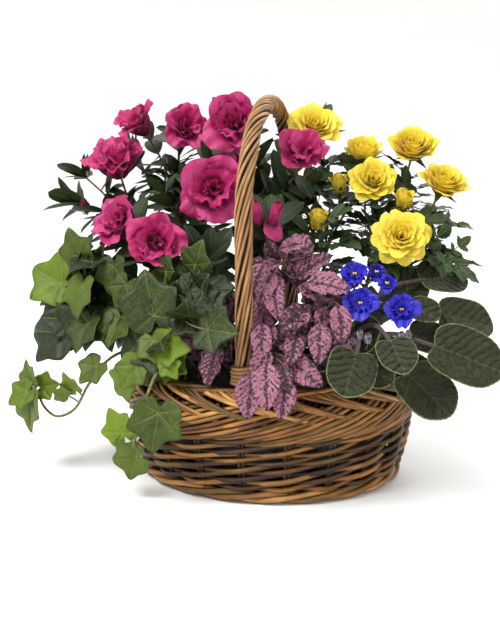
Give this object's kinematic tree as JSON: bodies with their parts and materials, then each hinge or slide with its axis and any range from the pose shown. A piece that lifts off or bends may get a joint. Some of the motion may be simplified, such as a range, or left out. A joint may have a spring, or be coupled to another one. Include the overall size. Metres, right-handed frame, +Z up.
{
  "type": "flower basket arrangement",
  "caption": "Oval willow basket with a roped hoop handle, planted with pink azalea, yellow miniature rose, ivy, pink polka dot plant and blue African violet.",
  "frame": {"origin": "centre of the basket's underside, on the surface it stands on", "axes": "+X along the basket's long axis to the viewer's right, +Y away from the viewer, +Z up; the hoop handle stands in the YZ plane"},
  "size_m": [0.4796, 0.2797, 0.3733],
  "materials": {
    "willow": "brown buff-boiled willow rods, woven, satin bark with orange and grey-violet rods mixed in",
    "handle_rope": "light brown willow rods twisted into a rope, satin",
    "binding": "split willow skein wound round the handle's feet, satin",
    "liner": "black polyethylene film, satin",
    "soil": "moist bark and peat potting mix, rough and matt",
    "azalea_leaf": "dark green leathery azalea foliage, soft gloss, on brown twigs",
    "azalea_petal": "magenta-pink ruffled double azalea petals, soft matt sheen",
    "rose_leaf": "dark green serrated rose leaves on green canes, semi-gloss",
    "rose_petal": "clear yellow rose petals, velvety matt",
    "ivy_leaf": "mid to lime green lobed ivy leaves with paler veins, waxy",
    "polka_dot_leaf": "pink leaves speckled and veined in dark green and maroon, matt",
    "violet_leaf": "dark olive quilted hairy leaves with pale green margins, velvety",
    "violet_petal": "deep violet-blue crystalline petals with yellow anthers"
  },
  "bodies": {
    "root": {"azalea_branch_1": "azalea_leaf", "azalea_branch_2": "azalea_leaf", "azalea_branch_3": "azalea_leaf", "azalea_branch_4": "azalea_leaf", "azalea_bud_1": "azalea_petal", "azalea_flower_1": "azalea_petal", "azalea_flower_2": "azalea_petal", "azalea_flower_3": "azalea_petal", "azalea_flower_4": "azalea_petal", "azalea_flower_5": "azalea_petal", "azalea_flower_6": "azalea_petal", "azalea_flower_7": "azalea_petal", "azalea_flower_8": "azalea_petal", "azalea_flower_9": "azalea_petal", "azalea_root_ball": "soil", "basket_base": "willow", "basket_foot_border": "willow", "basket_rim_border": "willow", "basket_wall": "willow", "handle": "handle_rope", "handle_binding_back": "binding", "handle_binding_front": "binding", "ivy_root_ball": "soil", "ivy_vine_1": "ivy_leaf", "ivy_vine_2": "ivy_leaf", "ivy_vine_3": "ivy_leaf", "ivy_vine_4": "ivy_leaf", "ivy_vine_5": "ivy_leaf", "polka_dot_plant_root_ball": "soil", "polka_dot_shoot_1": "polka_dot_leaf", "polka_dot_shoot_2": "polka_dot_leaf", "polka_dot_shoot_3": "polka_dot_leaf", "polka_dot_shoot_4": "polka_dot_leaf", "pot_liner": "liner", "potting_soil": "soil", "rose_bud_1": "rose_petal", "rose_bud_2": "rose_petal", "rose_bud_3": "rose_petal", "rose_bud_4": "rose_petal", "rose_cane_1": "rose_leaf", "rose_cane_2": "rose_leaf", "rose_cane_3": "rose_leaf", "rose_flower_1": "rose_petal", "rose_flower_2": "rose_petal", "rose_flower_3": "rose_petal", "rose_flower_4": "rose_petal", "rose_flower_5": "rose_petal", "rose_flower_6": "rose_petal", "rose_root_ball": "soil", "violet_crown": "violet_leaf", "violet_flower_1": "violet_petal", "violet_flower_2": "violet_petal", "violet_flower_3": "violet_petal", "violet_leaf_1": "violet_leaf", "violet_leaf_2": "violet_leaf", "violet_leaf_3": "violet_leaf", "violet_leaf_4": "violet_leaf", "violet_leaf_5": "violet_leaf", "violet_leaf_6": "violet_leaf", "violet_root_ball": "soil"}
  },
  "joints": []
}
